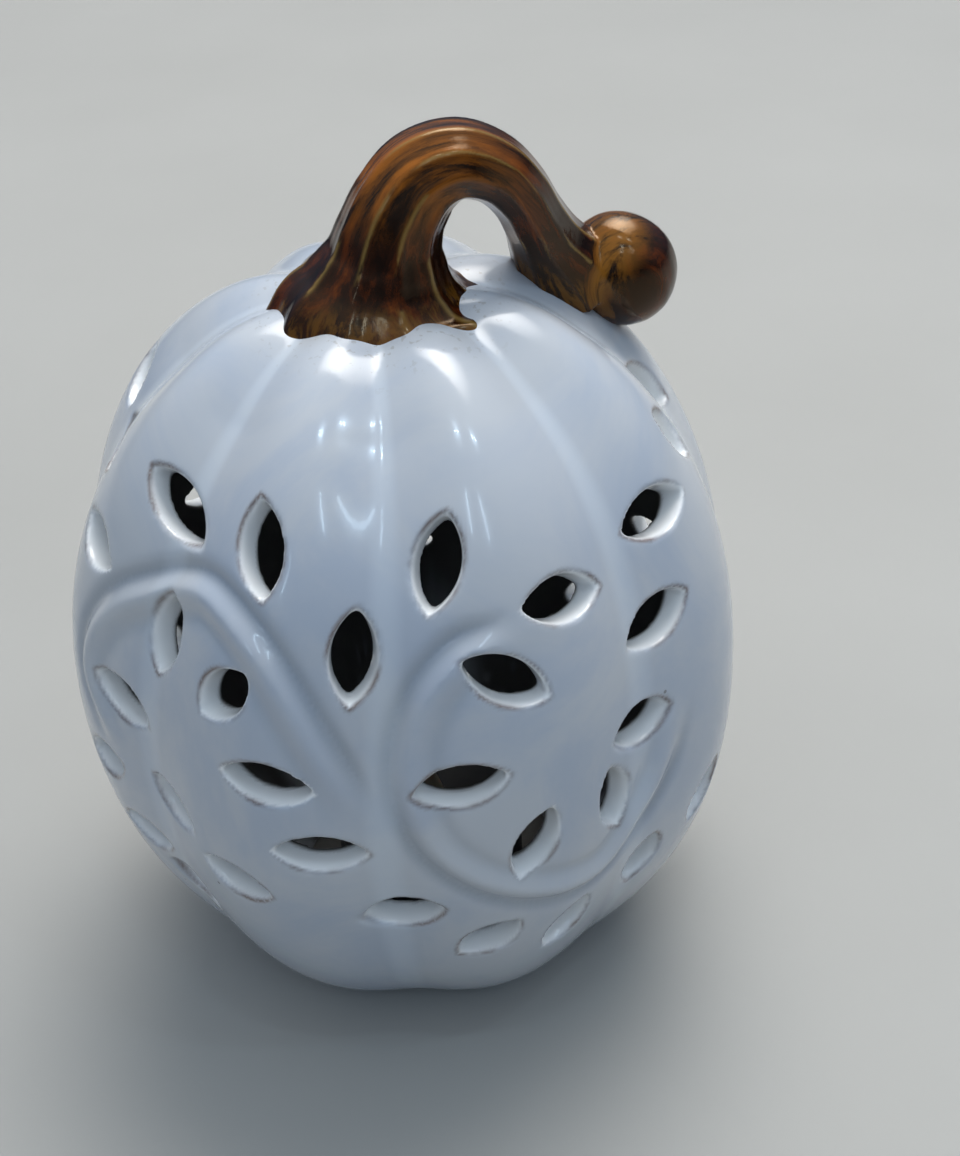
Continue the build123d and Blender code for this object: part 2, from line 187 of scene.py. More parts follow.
def cut_away(piece, cutters):
    """Subtract the cutter objects, then delete them."""
    for cutter in cutters:
        modifier = piece.modifiers.new("cut", "BOOLEAN")
        modifier.operation = "DIFFERENCE"
        modifier.solver = "EXACT"
        modifier.object = cutter
        apply_modifiers(piece)
        bpy.data.objects.remove(cutter)


def soften(piece, voxel, passes):
    """Remesh evenly and relax, which rounds the cut edges as thick glaze does."""
    remesh = piece.modifiers.new("even", "REMESH")
    remesh.mode = "VOXEL"
    remesh.voxel_size = voxel * MM
    relax = piece.modifiers.new("relax", "SMOOTH")
    relax.factor = 0.5
    relax.iterations = passes
    apply_modifiers(piece)


def points_of(piece):
    """Vertex positions in millimetres."""
    flat = np.empty(len(piece.data.vertices) * 3)
    piece.data.vertices.foreach_get("co", flat)
    return flat.reshape(-1, 3) / MM


def set_attribute(piece, name, values):
    """Store one number per vertex for the materials to read."""
    layer = piece.data.attributes.new(name, "FLOAT", "POINT")
    layer.data.foreach_set("value", np.clip(values, 0.0, 1.0).astype(np.float32))


def smooth_step(low, high, value):
    """0 below low, 1 above high, easing between."""
    share = np.clip((value - low) / (high - low), 0.0, 1.0)
    return share * share * (3.0 - 2.0 * share)


# ================================ pumpkin surface ===============================

def groove_share(angle, height):
    """1 in the bottom of a groove, 0 on the crest of a lobe."""
    lean = CROWN_TWIST * np.clip((height - BELLY_HEIGHT) / CROWN_RISE, 0.0, 1.0)
    turned = (angle - lean + 180.0) % 360.0 - 180.0
    marks = np.array((GROOVES[-1] - 360,) + GROOVES + (GROOVES[0] + 360,), float)
    index = np.clip(np.searchsorted(marks, turned, side="right") - 1, 0, len(marks) - 2)
    across = (turned - marks[index]) / (marks[index + 1] - marks[index])
    return 1.0 - np.sin(np.pi * across) ** RIB_SOFTNESS


def skin(swing, angle, inset=0.0):
    """Point on the ribbed body; swing is the angle up the side view, in radians."""
    power = 2.0 / CURVE_POWER
    upper = swing > 0
    reach = np.where(upper, CROWN_RISE - inset, FOOT_DROP - inset)
    radius = (BELLY_RADIUS - inset) * np.abs(np.cos(swing)) ** power
    rise = reach * np.sign(swing) * np.abs(np.sin(swing)) ** power
    grown = (radius - CROWN_FADE[0]) / (CROWN_FADE[1] - CROWN_FADE[0])
    fade = np.where(upper, np.clip(grown, 0.0, 1.0), 1.0)
    shrink = 1.0 - RIB_DEPTH * groove_share(angle, BELLY_HEIGHT + rise) * fade
    dish = np.where(upper, DISH_DEPTH * np.exp(-(radius / DISH_SPREAD) ** 2), 0.0)
    height = BELLY_HEIGHT + rise * np.where(upper, shrink, 1.0) - dish
    turn = np.radians(angle)
    across = radius * shrink
    return np.stack([across * np.sin(turn), -across * np.cos(turn), height], -1)


def swing_at(angle, height):
    """Swing that reaches a height at one angle, found by halving."""
    low, high = math.radians(-60.0), math.radians(80.0)
    for _ in range(40):
        middle = (low + high) / 2.0
        if skin(np.float64(middle), np.float64(angle))[2] < height:
            low = middle
        else:
            high = middle
    return (low + high) / 2.0


def skin_frame(angle, height):
    """Place on the skin at degrees round and a height, with directions round, up and out."""
    swing = np.float64(swing_at(angle, height))
    place = skin(swing, np.float64(angle))
    around = skin(swing, np.float64(angle + 1.0)) - skin(swing, np.float64(angle - 1.0))
    upward = skin(swing + 0.01, np.float64(angle)) - skin(swing - 0.01, np.float64(angle))
    outward = np.cross(around, upward)
    outward /= np.linalg.norm(outward)
    around /= np.linalg.norm(around)
    return place, around, np.cross(outward, around), outward


def body_rings(inset, lowest, steps_up, steps_round):
    """Grid of points over the body from a lowest height to the crown."""
    low = -math.asin(((BELLY_HEIGHT - lowest) / (FOOT_DROP - inset)) ** (CURVE_POWER / 2.0))
    high = math.radians(89.0)
    swing = np.linspace(low, high, steps_up)
    angle = np.linspace(-180.0, 180.0, steps_round, endpoint=False)
    swing, angle = np.meshgrid(swing, angle, indexing="ij")
    return swing, angle, skin(swing, angle, inset)


def smooth_line(points, per_step=24):
    """Catmull-Rom line through a few points."""
    points = np.asarray(points, float)
    padded = np.vstack([2 * points[0] - points[1], points, 2 * points[-1] - points[-2]])
    line = []
    for index in range(len(points) - 1):
        a, b, c, d = padded[index:index + 4]
        for step in range(per_step):
            t = step / per_step
            line.append(0.5 * (2 * b + (c - a) * t + (2 * a - 5 * b + 4 * c - d) * t * t
                               + (3 * b - a - 3 * c + d) * t ** 3))
    line.append(points[-1])
    return np.array(line)


def vine_lines():
    """Dense points along every vine line, with its direction and the skin's outward one."""
    lines = []
    for turn, lift in ((0, 0), (BACK_TURN, BACK_LIFT)):
        for vine in (LEFT_VINE, RIGHT_VINE):
            places, outwards = [], []
            for angle, height in smooth_line(vine, 16):
                place, _, _, outward = skin_frame(angle + turn, height + lift)
                places.append(place)
                outwards.append(outward)
            places = np.array(places)
            ways = np.gradient(places, axis=0)
            ways /= np.linalg.norm(ways, axis=1)[:, None]
            ends = np.linspace(0.0, 1.0, len(places))
            fade = smooth_step(0.0, 0.12, ends) * smooth_step(0.0, 0.12, 1.0 - ends)
            lines.append((places, ways, np.array(outwards), fade))
    return lines


def vine_relief(points):
    """Height of the pressed vine at each point, and how strongly its valleys are painted darker as shade
    there.
    """
    relief = np.zeros(len(points))
    valley_shade = np.zeros(len(points))
    for places, ways, outwards, fade in vine_lines():
        tree = KDTree(len(places))
        for index, place in enumerate(places):
            tree.insert(place, index)
        tree.balance()
        low, high = places.min(0) - VINE_REACH, places.max(0) + VINE_REACH
        near = np.nonzero(((points > low) & (points < high)).all(1))[0]
        index, distance = np.zeros(len(near), int), np.zeros(len(near))
        for row, spot in enumerate(near):
            _, index[row], distance[row] = tree.find(points[spot])
        left = np.cross(outwards[index], ways[index])
        side = np.copysign(distance, ((points[near] - places[index]) * left).sum(1))
        share = fade[index] * (distance < VINE_REACH)
        valley = np.exp(-(side / 1.4) ** 2)
        vein = np.exp(-((side - VEIN_OFFSET) / 1.9) ** 2)
        far_valley = np.exp(-((side - FAR_VALLEY_OFFSET) / 1.5) ** 2)
        relief[near] += share * (VEIN_HEIGHT * vein - VALLEY_DEPTH * (valley + 0.5 * far_valley))
        # this band darkens the glaze along the vine valleys as painted shade
        wide = np.exp(-((side + 0.2) / 1.6) ** 2) + 0.35 * far_valley
        valley_shade[near] = np.maximum(valley_shade[near], share * wide)
    return relief, valley_shade


def leaves():
    """Every leaf: the front pattern and the same turned to the back."""
    for angle, height, lean, length in FRONT_LEAVES:
        yield angle, height, lean, length
        if abs(angle) < REPEAT_REACH:
            yield angle + BACK_TURN, height + BACK_LIFT, lean, length


def leaf_frame(angle, height, lean):
    """Middle of a leaf, with its long, cross and outward directions."""
    place, around, upward, outward = skin_frame(angle, height)
    turn = math.radians(lean)
    along = around * math.cos(turn) + upward * math.sin(turn)
    return place, along, np.cross(outward, along), outward


def leaf_outline(length, width, count=14):
    """Pointed leaf made of two arcs."""
    half, side = length / 2.0, width / 2.0
    radius = (half * half + side * side) / (2.0 * side)
    sweep = math.asin(half / radius)
    turn = np.linspace(-sweep, sweep, count)
    x = radius * np.sin(turn)
    y = radius * np.cos(turn) - (radius - side)
    return np.vstack([np.column_stack([x, -y]), np.column_stack([x[::-1], y[::-1]])[1:-1]])


# how far out from the wall, and how much wider than the leaf, the cutter is there
CUTTER_FLARE = ((-14.0, -0.7), (-5.5, -0.5), (-1.6, 0.0), (-0.5, 0.3), (0.4, 0.9), (4.0, 4.0))


def leaf_cutter_mesh():
    """One mesh of all the leaf cutters, each flared where it breaks the skin."""
    points, faces = [], []
    for angle, height, lean, length in leaves():
        place, along, cross, outward = leaf_frame(angle, height, lean)
        start = len(points)
        around = 0
        for out, wider in CUTTER_FLARE:
            outline = leaf_outline(length + 2.4 * wider, LEAF_WIDTH + 2.0 * wider)
            around = len(outline)
            for x, y in outline:
                points.append(place + along * x + cross * y + outward * out)
        for face in tube_faces(len(CUTTER_FLARE), around):
            faces.append(tuple(start + index for index in face))
    return mesh_object("leaf_cutters", points, faces)


def hollow_mesh():
    """Closed inside surface of the wall, flat at the ceiling."""
    swing, angle, points = body_rings(WALL, 2.0, 70, 144)
    points[..., 2] = np.minimum(points[..., 2], CEILING)
    rings, around = swing.shape
    return mesh_object("hollow", points.reshape(-1, 3), tube_faces(rings, around))


def opening_mesh():
    """Round hole in the underside, a little wider at the table."""
    around = 96
    points = []
    rings = ((-2.0, BASE_OPENING_RADIUS + 1.0), (1.0, BASE_OPENING_RADIUS), (12.0, BASE_OPENING_RADIUS))
    for height, radius in rings:
        for turn in np.linspace(0.0, 2.0 * math.pi, around, endpoint=False):
            points.append((radius * math.cos(turn), radius * math.sin(turn), height))
    return mesh_object("opening", points, tube_faces(len(rings), around))


def build_shell():
    """The hollow pierced body with its ribs, vines and softened leaf edges."""
    steps_round = int(2.0 * math.pi * BELLY_RADIUS / SKIN_STEP)
    steps_up = int(210.0 / SKIN_STEP)
    swing, angle, grid = body_rings(0.0, 0.0, steps_up, steps_round)
    points = grid.reshape(-1, 3)
    outward = np.cross(np.gradient(grid, axis=1), np.gradient(grid, axis=0))
    outward = outward.reshape(-1, 3)
    outward /= np.linalg.norm(outward, axis=1)[:, None] + 1e-12
    relief, _ = vine_relief(points)
    points = points + outward * relief[:, None]
    points[:, 2] = np.maximum(points[:, 2], 0.0)
    shell = mesh_object("shell_visual", points, tube_faces(steps_up, steps_round))
    cut_away(shell, [hollow_mesh(), opening_mesh(), leaf_cutter_mesh()])
    soften(shell, SHELL_VOXEL, 4)
    return shell


def mark_shell(shell):
    """Attributes for the glaze and for painted light: rims, hole walls, inside, vine valleys, grooves,
    crown and foot.
    """
    points = points_of(shell)
    radius = np.hypot(points[:, 0], points[:, 1])
    angle = np.degrees(np.arctan2(points[:, 0], -points[:, 1]))
    rise = points[:, 2] - BELLY_HEIGHT
    reach = np.where(rise > 0, CROWN_RISE, FOOT_DROP)
    share = ((radius / BELLY_RADIUS) ** CURVE_POWER + (np.abs(rise) / reach) ** CURVE_POWER)
    share = share ** (1.0 / CURVE_POWER)
    groove = groove_share(angle, points[:, 2])
    depth = (1.0 - RIB_DEPTH * groove - share) * BELLY_RADIUS
    rim = np.zeros(len(points))
    wall = np.zeros(len(points))
    for leaf_angle, height, lean, length in leaves():
        place, along, cross, outward = leaf_frame(leaf_angle, height, lean)
        offset = points - place
        near = np.nonzero((offset ** 2).sum(1) < 15.0 ** 2)[0]
        local = offset[near] @ np.column_stack([along, cross, outward])
        half, side = length / 2.0, LEAF_WIDTH / 2.0
        arc = (half * half + side * side) / (2.0 * side)
        edge = np.hypot(local[:, 0], np.abs(local[:, 1]) + (arc - side)) - arc
        line = np.exp(-((edge - 0.6) / 0.35) ** 2) * smooth_step(-1.8, -0.8, local[:, 2])
        rim[near] = np.maximum(rim[near], line)
        inner = 1.0 - smooth_step(0.2, 0.6, edge)
        wall[near] = np.maximum(wall[near], inner)
    crown = np.hypot(points[:, 0] - STEM_STATIONS[0][0], points[:, 1] - STEM_STATIONS[0][1])
    set_attribute(shell, "rim", rim)
    # the wall mask paints the hole walls paler, as painted light
    set_attribute(shell, "wall", wall)
    # the inside mask paints the inner wall near black as shade
    set_attribute(shell, "inside", smooth_step(3.9, 4.9, depth))
    # the valley mask paints shade into the vine valleys
    set_attribute(shell, "valley", vine_relief(points)[1])
    # the groove share also lays a painted highlight along the grooves
    set_attribute(shell, "groove", groove)
    set_attribute(shell, "crown", (1.0 - smooth_step(17.0, 27.0, crown)) * (points[:, 2] > 100.0))
    set_attribute(shell, "foot", 1.0 - smooth_step(0.4, 1.0, points[:, 2]))


# ================================ stem ==========================================

def stem_rings():
    """Ridged rings along the smoothed middle line of the stem."""
    line = smooth_line(STEM_STATIONS, 14)
    ways = np.gradient(line[:, :3], axis=0)
    ways /= np.linalg.norm(ways, axis=1)[:, None]
    around = 180
    turn = np.linspace(0.0, 2.0 * math.pi, around, endpoint=False)
    points = []
    for index, (x, y, z, half_width, half_depth) in enumerate(line):
        share = index / (len(line) - 1)
        width = np.cross((0.0, 1.0, 0.0), ways[index])
        width /= np.linalg.norm(width)
        depth = np.cross(ways[index], width)
        twist = 0.5 * share
        ridge = np.abs(np.cos(RIDGES / 2.0 * (turn + twist))) ** 5
        strength = 0.050 + 0.028 * math.exp(-(share / 0.12) ** 2)
        flute = 1.0 - strength * 0.5 + strength * ridge
        side = (half_width * flute * np.cos(turn))[:, None] * width
        deep = (half_depth * flute * np.sin(turn))[:, None] * depth
        points.append(np.array((x, y, z)) + side + deep)
    return np.array(points)


def knob_mesh():
    """Rounded cut end of the stem, a little flattened, with faint ridges."""
    rings, around = 40, 72
    turn = np.linspace(0.0, 2.0 * math.pi, around, endpoint=False)
    lean = np.array(Matrix.Rotation(math.radians(KNOB_LEAN), 3, "Y"))
    points = []
    for up in np.linspace(-math.pi / 2 + 0.05, math.pi / 2 - 0.05, rings):
        ridge = 1.0 + 0.025 * np.abs(np.cos(3.5 * turn)) ** 6
        ring = np.stack([
            KNOB_HALF_SIZES[0] * math.cos(up) * np.cos(turn) * ridge,
            KNOB_HALF_SIZES[1] * math.cos(up) * np.sin(turn) * ridge,
            np.full(around, KNOB_HALF_SIZES[2] * math.sin(up)),
        ], -1)
        points.append(ring @ lean.T + np.array(KNOB_CENTRE))
    return mesh_object("knob", np.array(points).reshape(-1, 3), tube_faces(rings, around))


def build_stem():
    """Arched stem and knob in one, trimmed to sit on the crown and shoulder."""
    rings = stem_rings()
    stem = mesh_object("stem_visual", rings.reshape(-1, 3), tube_faces(*rings.shape[:2]))
    join = stem.modifiers.new("join", "BOOLEAN")
    join.operation = "UNION"
    join.solver = "EXACT"
    knob = knob_mesh()
    join.object = knob
    apply_modifiers(stem)
    bpy.data.objects.remove(knob)
    swing, angle, grid = body_rings(1.2, 30.0, 160, 288)
    under = mesh_object("under", grid.reshape(-1, 3), tube_faces(*swing.shape))
    cut_away(stem, [under])
    soften(stem, STEM_VOXEL, 3)
    return stem


def mark_stem(stem):
    """Attributes for the stem glaze: streaks, tan ridge lines, hem, a crest painted lighter as if lit,
    and amber end.
    """
    points = points_of(stem)
    line = smooth_line(STEM_STATIONS, 14)
    ways = np.gradient(line[:, :3], axis=0)
    ways /= np.linalg.norm(ways, axis=1)[:, None]
    tree = KDTree(len(line))
    for index, station in enumerate(line):
        tree.insert(station[:3], index)
    tree.balance()
    ridge = np.zeros(len(points))
    along = np.zeros(len(points))
    streak = np.zeros((len(points), 3))
    for spot, point in enumerate(points):
        _, index, distance = tree.find(point)
        share = index / (len(line) - 1)
        width = np.cross((0.0, 1.0, 0.0), ways[index])
        width /= np.linalg.norm(width)
        depth = np.cross(ways[index], width)
        offset = point - line[index, :3]
        turn = math.atan2(np.dot(offset, depth) / line[index, 4], np.dot(offset, width) / line[index, 3])
        ridge[spot] = abs(math.cos(RIDGES / 2.0 * (turn + 0.5 * share))) ** 50
        along[spot] = share
        streak[spot] = (math.cos(turn), math.sin(turn), 2.2 * share)
    knob_distance = np.linalg.norm(points - np.array(KNOB_CENTRE), axis=1)
    knob = 1.0 - smooth_step(9.0, 12.0, knob_distance)
    streak = streak * (1.0 - knob)[:, None] + (points - KNOB_CENTRE) / (15.0, 15.0, 30.0) * knob[:, None]
    layer = stem.data.attributes.new("streak", "FLOAT_VECTOR", "POINT")
    layer.data.foreach_set("vector", streak.astype(np.float32).ravel())
    height_over = points[:, 2] - shell_height(points)
    set_attribute(stem, "ridge", ridge * (1.0 - knob))
    upper_left = (points - KNOB_CENTRE) @ np.array((-0.70, -0.25, 0.67)) / KNOB_HALF_SIZES[0]
    set_attribute(stem, "amber", knob * smooth_step(0.1, 0.8, upper_left))
    set_attribute(stem, "hem", 1.0 - smooth_step(0.5, 4.5, height_over))
    crest = 1.0 - smooth_step(0.40, 0.75, along)
    # the upper crest of the arch is marked for painted light
    set_attribute(stem, "painted_crest_light", crest * smooth_step(148.0, 160.0, points[:, 2]) * (1.0 - knob))


def shell_height(points):
    """Height of the plain crown surface under each point."""
    radius = np.hypot(points[:, 0], points[:, 1])
    share = np.clip(radius / BELLY_RADIUS, 0.0, 0.999)
    height = BELLY_HEIGHT + CROWN_RISE * (1.0 - share ** CURVE_POWER) ** (1.0 / CURVE_POWER)
    return height - DISH_DEPTH * np.exp(-(radius / DISH_SPREAD) ** 2)


# ================================ materials =====================================

class Nodes:
    """Small helper that adds and links shader nodes in one material."""

    def __init__(self, name):
        self.material = bpy.data.materials.new(name)
        self.material.use_nodes = True
        self.tree = self.material.node_tree
        self.shader = self.tree.nodes["Principled BSDF"]
        self.place = self.add("ShaderNodeTexCoord").outputs["Object"]

    def add(self, kind, **values):
        node = self.tree.nodes.new(kind)
        for key, value in values.items():
            setattr(node, key, value)
        return node

    def link(self, source, target):
        self.tree.links.new(source, target)

    def noise(self, scale, detail=3.0, roughness=0.5, distortion=0.0):
        node = self.add("ShaderNodeTexNoise")
        self.link(self.place, node.inputs["Vector"])
        node.inputs["Scale"].default_value = scale
        node.inputs["Detail"].default_value = detail
        node.inputs["Roughness"].default_value = roughness
        node.inputs["Distortion"].default_value = distortion
        return node.outputs["Fac"]

    def attribute(self, name):
        return self.add("ShaderNodeAttribute", attribute_name=name).outputs["Fac"]

    def ramp(self, value, *stops):
        node = self.add("ShaderNodeValToRGB")
        self.link(value, node.inputs["Fac"])
        elements = node.color_ramp.elements
        while len(elements) < len(stops):
            elements.new(0.5)
        for element, (position, colour) in zip(elements, stops):
            element.position = position
            element.color = (*colour, 1.0)
        return node.outputs["Color"]

    def levels(self, value, low, high, start=0.0, end=1.0):
        node = self.add("ShaderNodeMapRange")
        node.interpolation_type = "SMOOTHSTEP"
        self.link(value, node.inputs["Value"])
        node.inputs["From Min"].default_value = low
        node.inputs["From Max"].default_value = high
        node.inputs["To Min"].default_value = start
        node.inputs["To Max"].default_value = end
        return node.outputs["Result"]

    def maths(self, operation, a, b):
        node = self.add("ShaderNodeMath", operation=operation)
        for socket, value in zip(node.inputs, (a, b)):
            if isinstance(value, (int, float)):
                socket.default_value = value
            else:
                self.link(value, socket)
        return node.outputs["Value"]

    def mix(self, share, a, b):
        node = self.add("ShaderNodeMix", data_type="RGBA")
        for socket, value in ((node.inputs[0], share), (node.inputs[6], a), (node.inputs[7], b)):
            if isinstance(value, (int, float)):
                socket.default_value = value
            elif isinstance(value, tuple):
                socket.default_value = (*value, 1.0)
            else:
                self.link(value, socket)
        return node.outputs[2]

    def bump(self, height, strength, distance):
        node = self.add("ShaderNodeBump")
        self.link(height, node.inputs["Height"])
        node.inputs["Strength"].default_value = strength
        node.inputs["Distance"].default_value = distance * MM
        self.link(node.outputs["Normal"], self.shader.inputs["Normal"])

    def colour(self, value):
        if isinstance(value, tuple):
            self.shader.inputs["Base Color"].default_value = (*value, 1.0)
        else:
            self.link(value, self.shader.inputs["Base Color"])

    def rough(self, value):
        if isinstance(value, (int, float)):
            self.shader.inputs["Roughness"].default_value = value
        else:
            self.link(value, self.shader.inputs["Roughness"])

    def set(self, **values):
        for key, value in values.items():
            self.shader.inputs[key.replace("_", " ")].default_value = value


GLAZE_BLUE = (0.46, 0.51, 0.59)
GLAZE_GREY = (0.55, 0.575, 0.61)
# painted shade: dark colour for the vine valleys
VALLEY_SHADE_PAINT = (0.24, 0.28, 0.33)
# painted light: pale colour for the hole walls
LIT_WALL_PAINT = (0.92, 0.93, 0.93)
EDGE_BROWN = (0.15, 0.085, 0.055)
# painted shade: near black for the inside wall
INSIDE_SHADE_PAINT = (0.085, 0.078, 0.072)
FOOT_CLAY = (0.62, 0.57, 0.50)


def white_glaze():
    """Thick cool white glaze, brown where it breaks over the cut edges, with painted light: near black
    inside as shade, darker vine valleys, lighter grooves and hole walls.
    """
    nodes = Nodes("white_glaze")
    clouds = nodes.levels(nodes.noise(26.0, 5.0, 0.6, 0.6), 0.36, 0.62)
    colour = nodes.mix(clouds, GLAZE_BLUE, GLAZE_GREY)
    # painted shade: the vine valleys painted darker
    valley_shade = nodes.maths("MULTIPLY", nodes.attribute("valley"), 0.62)
    colour = nodes.mix(valley_shade, colour, VALLEY_SHADE_PAINT)
    # painted highlight: a pale line laid along the bottom of every groove
    groove_highlight = nodes.levels(nodes.attribute("groove"), 0.86, 1.0, 0.0, 0.28)
    colour = nodes.mix(groove_highlight, colour, (0.72, 0.79, 0.86))
    # painted light: the hole walls painted much paler than the outer glaze, as if lit
    wall = nodes.maths("MULTIPLY", nodes.attribute("wall"), 0.95)
    colour = nodes.mix(wall, colour, LIT_WALL_PAINT)
    broken = nodes.levels(nodes.noise(90.0, 3.0, 0.55), 0.38, 0.66)
    rim = nodes.maths("MULTIPLY", nodes.attribute("rim"), nodes.maths("MULTIPLY", broken, 0.85))
    colour = nodes.mix(rim, colour, EDGE_BROWN)
    spray = nodes.levels(nodes.noise(900.0, 2.0, 0.5), 0.60, 0.68)
    crown = nodes.maths("MULTIPLY", nodes.attribute("crown"), nodes.maths("MULTIPLY", spray, 0.35))
    colour = nodes.mix(crown, colour, (0.26, 0.22, 0.17))
    specks = nodes.add("ShaderNodeTexVoronoi")
    nodes.link(nodes.place, specks.inputs["Vector"])
    specks.inputs["Scale"].default_value = 55.0
    dot = nodes.levels(specks.outputs["Distance"], 0.016, 0.024, 1.0, 0.0)
    colour = nodes.mix(nodes.maths("MULTIPLY", dot, 0.6), colour, (0.10, 0.08, 0.07))
    # painted shade: the inside painted near black
    inside_shade = nodes.mix(nodes.noise(300.0, 4.0), INSIDE_SHADE_PAINT, (0.12, 0.11, 0.10))
    colour = nodes.mix(nodes.attribute("inside"), colour, inside_shade)
    foot = nodes.mix(nodes.noise(500.0, 4.0), FOOT_CLAY, (0.50, 0.46, 0.41))
    colour = nodes.mix(nodes.attribute("foot"), colour, foot)
    nodes.colour(colour)
    bare = nodes.maths("MAXIMUM", nodes.attribute("inside"), nodes.attribute("foot"))
    nodes.rough(nodes.levels(bare, 0.0, 1.0, 0.16, 0.75))
    nodes.set(Coat_Weight=0.25, Coat_Roughness=0.03)
    fine = nodes.maths("MULTIPLY", nodes.noise(1500.0, 2.0), 0.02)
    ripple = nodes.maths("ADD", nodes.noise(60.0, 2.0), fine)
    nodes.bump(ripple, 0.25, 0.5)
    return nodes.material


def brown_glaze():
    """Streaky brown and amber glaze that breaks tan on the ridges and pools at the hem."""
    nodes = Nodes("brown_glaze")
    nodes.place = nodes.add("ShaderNodeAttribute", attribute_name="streak").outputs["Vector"]
    mottle = nodes.noise(2.6, 9.0, 0.68, 0.5)
    streak = nodes.levels(nodes.noise(1.9, 4.0, 0.55), 0.50, 0.57)
    patch = nodes.levels(nodes.noise(4.0, 7.0, 0.7, 0.5), 0.44, 0.58)
    nodes.place = nodes.add("ShaderNodeTexCoord").outputs["Object"]
    colour = nodes.ramp(
        mottle,
        (0.43, (0.008, 0.0016, 0.0008)),
        (0.53, (0.028, 0.0048, 0.0010)),
        (0.63, (0.100, 0.018, 0.0016)),
        (0.77, (0.280, 0.070, 0.005)),
    )
    # painted light: the top of the arch painted bright orange as if lit from above
    crest_highlight = nodes.maths("MULTIPLY", nodes.attribute("painted_crest_light"), nodes.levels(mottle, 0.34, 0.64))
    colour = nodes.mix(nodes.maths("MULTIPLY", crest_highlight, 0.9), colour, (0.38, 0.112, 0.007))
    tan_line = nodes.maths("MULTIPLY", nodes.attribute("ridge"), streak)
    colour = nodes.mix(nodes.maths("MULTIPLY", tan_line, 0.8), colour, (0.27, 0.165, 0.045))
    hem = nodes.maths("MULTIPLY", nodes.attribute("hem"), patch)
    colour = nodes.mix(nodes.maths("MULTIPLY", hem, 0.8), colour, (0.15, 0.060, 0.007))
    amber = nodes.maths("MULTIPLY", nodes.attribute("amber"), nodes.levels(mottle, 0.36, 0.52))
    colour = nodes.mix(nodes.maths("MULTIPLY", amber, 0.85), colour, (0.36, 0.135, 0.012))
    nodes.colour(colour)
    nodes.rough(nodes.levels(mottle, 0.3, 0.7, 0.10, 0.20))
    nodes.set(Specular_IOR_Level=0.55, Specular_Tint=(1.0, 0.72, 0.46, 1.0))
    fine = nodes.maths("MULTIPLY", nodes.noise(1200.0, 3.0), 0.25)
    grain = nodes.maths("ADD", nodes.noise(220.0, 4.0), fine)
    nodes.bump(grain, 0.14, 0.5)
    return nodes.material


def moulded_plastic(name, colour, roughness, grain=0.15):
    """Moulded plastic with a fine matt grain and faint colour variation."""
    nodes = Nodes(name)
    lighter = tuple(channel * 1.25 + 0.004 for channel in colour)
    nodes.colour(nodes.mix(nodes.noise(160.0, 3.0), colour, lighter))
    nodes.rough(nodes.levels(nodes.noise(400.0, 3.0), 0.3, 0.7, roughness - 0.06, roughness + 0.06))
    nodes.bump(nodes.noise(4000.0, 2.0), grain, 0.05)
    return nodes.material


def flame_plastic():
    """Soft milky plastic that glows a little through."""
    nodes = Nodes("flame_plastic")
    nodes.colour(nodes.mix(nodes.noise(120.0, 2.0), (0.30, 0.25, 0.18), (0.38, 0.33, 0.25)))
    nodes.rough(nodes.levels(nodes.noise(300.0, 2.0), 0.3, 0.7, 0.30, 0.42))
    nodes.set(Subsurface_Weight=0.4, Subsurface_Scale=0.002)
    nodes.bump(nodes.noise(900.0, 2.0), 0.1, 0.05)
    return nodes.material


def plain_metal(name, colour, roughness, stretch):
    """Thin metal with fine rolling lines along one way."""
    nodes = Nodes(name)
    mapping = nodes.add("ShaderNodeMapping")
    mapping.inputs["Scale"].default_value = stretch
    nodes.link(nodes.place, mapping.inputs["Vector"])
    nodes.place = mapping.outputs["Vector"]
    lines = nodes.noise(900.0, 3.0)
    darker = tuple(channel * 0.8 for channel in colour)
    nodes.colour(nodes.mix(lines, darker, colour))
    nodes.rough(nodes.levels(lines, 0.3, 0.7, roughness - 0.08, roughness + 0.08))
    nodes.set(Metallic=1.0)
    nodes.bump(lines, 0.1, 0.03)
    return nodes.material


def dress(node, material):
    """Give a CAD node its finished material."""
    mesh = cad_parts[node].data
    mesh.materials.clear()
    mesh.materials.append(material)


# ================================ put together ==================================

shell = build_shell()
mark_shell(shell)
shell.data.materials.append(white_glaze())
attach(shell, "pumpkin")
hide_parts("pumpkin_shell")

stem = build_stem()
mark_stem(stem)
stem.data.materials.append(brown_glaze())
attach(stem, "pumpkin")
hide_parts("pumpkin_stem")

black_plastic = moulded_plastic("tea_plastic", (0.012, 0.012, 0.014), 0.45)
for node in ("tea_housing", "tea_cap", "battery_door"):
    dress(node, black_plastic)
dress("flame_lens", flame_plastic())
dress("led", moulded_plastic("led_resin", (0.75, 0.68, 0.45), 0.2, 0.02))
dress("coin_cell", plain_metal("cell_steel", (0.62, 0.62, 0.63), 0.28, (1.0, 0.05, 1.0)))
contact = plain_metal("contact_metal", (0.62, 0.52, 0.33), 0.35, (0.05, 1.0, 1.0))
dress("cell_top_contact", contact)
dress("cell_side_contact", contact)
dress("switch_frame", plain_metal("switch_steel", (0.55, 0.56, 0.57), 0.35, (1.0, 0.05, 1.0)))
dress("switch_slider", moulded_plastic("switch_plastic", (0.30, 0.30, 0.29), 0.5))
dress("door_screw", plain_metal("screw_steel", (0.55, 0.55, 0.54), 0.32, (1.0, 1.0, 0.05)))


# ================================ floor, light, camera ==========================

